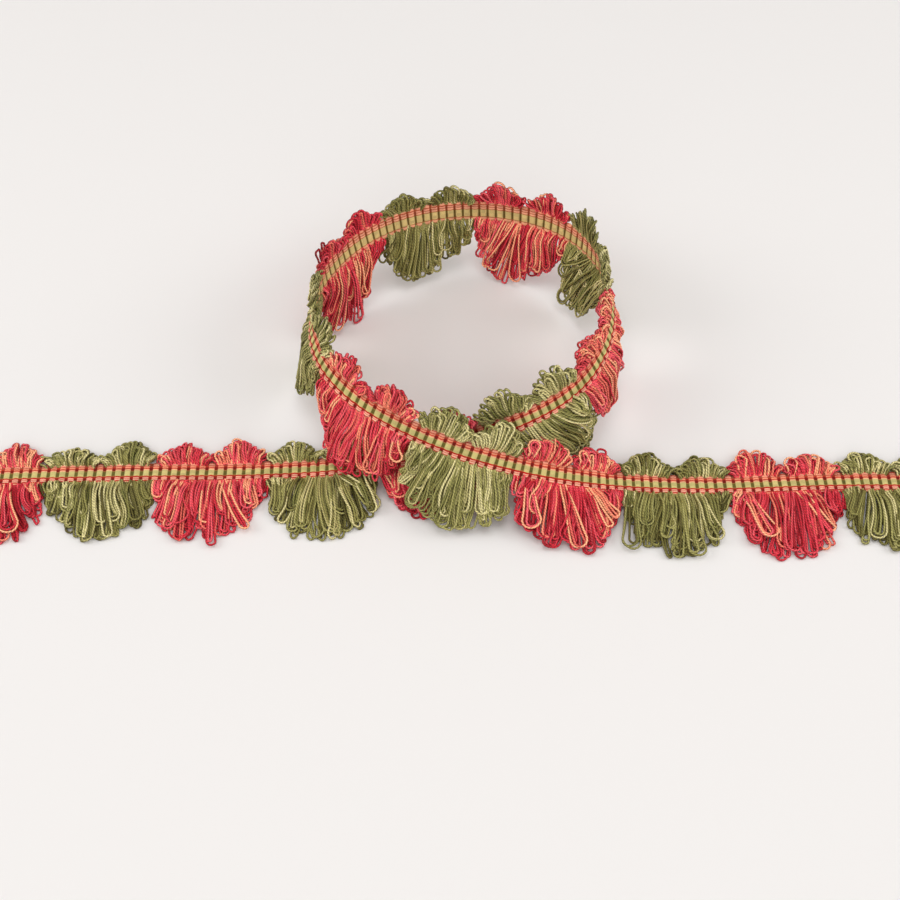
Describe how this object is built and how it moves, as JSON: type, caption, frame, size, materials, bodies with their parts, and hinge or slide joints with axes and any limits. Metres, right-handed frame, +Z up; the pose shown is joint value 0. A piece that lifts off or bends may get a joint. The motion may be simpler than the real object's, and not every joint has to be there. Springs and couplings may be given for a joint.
{
  "type": "fan edge trim, an open looped length",
  "caption": "Woven fan edge trim with red and olive yarn fans; its tails lie flat and its middle stands on the fringe as an open loop.",
  "frame": {"origin": "bottom centre of the whole bounding box, on the surface that the trim rests on", "axes": "+X along the flat tails, from the left one to the right one; +Y towards the back of the standing loop; +Z up"},
  "size_m": [0.4266, 0.169, 0.0508],
  "materials": {
    "heading_weave": "ribbed weave, lime and olive middle band, red and peach edge bands, paler reverse",
    "red_yarn": "soft two-ply yarn, crimson with salmon, pink and orange strands",
    "green_yarn": "soft two-ply yarn, olive with sage and straw strands"
  },
  "bodies": {
    "root": {"heading": "heading_weave", "fringe_01": "red_yarn", "fringe_02": "green_yarn", "fringe_03": "red_yarn", "fringe_04": "green_yarn", "fringe_05": "red_yarn", "fringe_06": "green_yarn", "fringe_07": "red_yarn", "fringe_08": "green_yarn", "fringe_09": "red_yarn", "fringe_10": "green_yarn", "fringe_11": "red_yarn", "fringe_12": "green_yarn", "fringe_13": "red_yarn", "fringe_14": "green_yarn", "fringe_15": "red_yarn", "fringe_16": "green_yarn", "fringe_17": "red_yarn", "fringe_18": "green_yarn", "scallop_01": "red_yarn", "scallop_02": "green_yarn", "scallop_03": "red_yarn", "scallop_04": "green_yarn", "scallop_05": "red_yarn", "scallop_06": "green_yarn", "scallop_07": "red_yarn", "scallop_08": "green_yarn", "scallop_09": "red_yarn", "scallop_10": "green_yarn", "scallop_11": "red_yarn", "scallop_12": "green_yarn", "scallop_13": "red_yarn", "scallop_14": "green_yarn", "scallop_15": "red_yarn", "scallop_16": "green_yarn", "scallop_17": "red_yarn", "scallop_18": "green_yarn"}
  },
  "joints": []
}
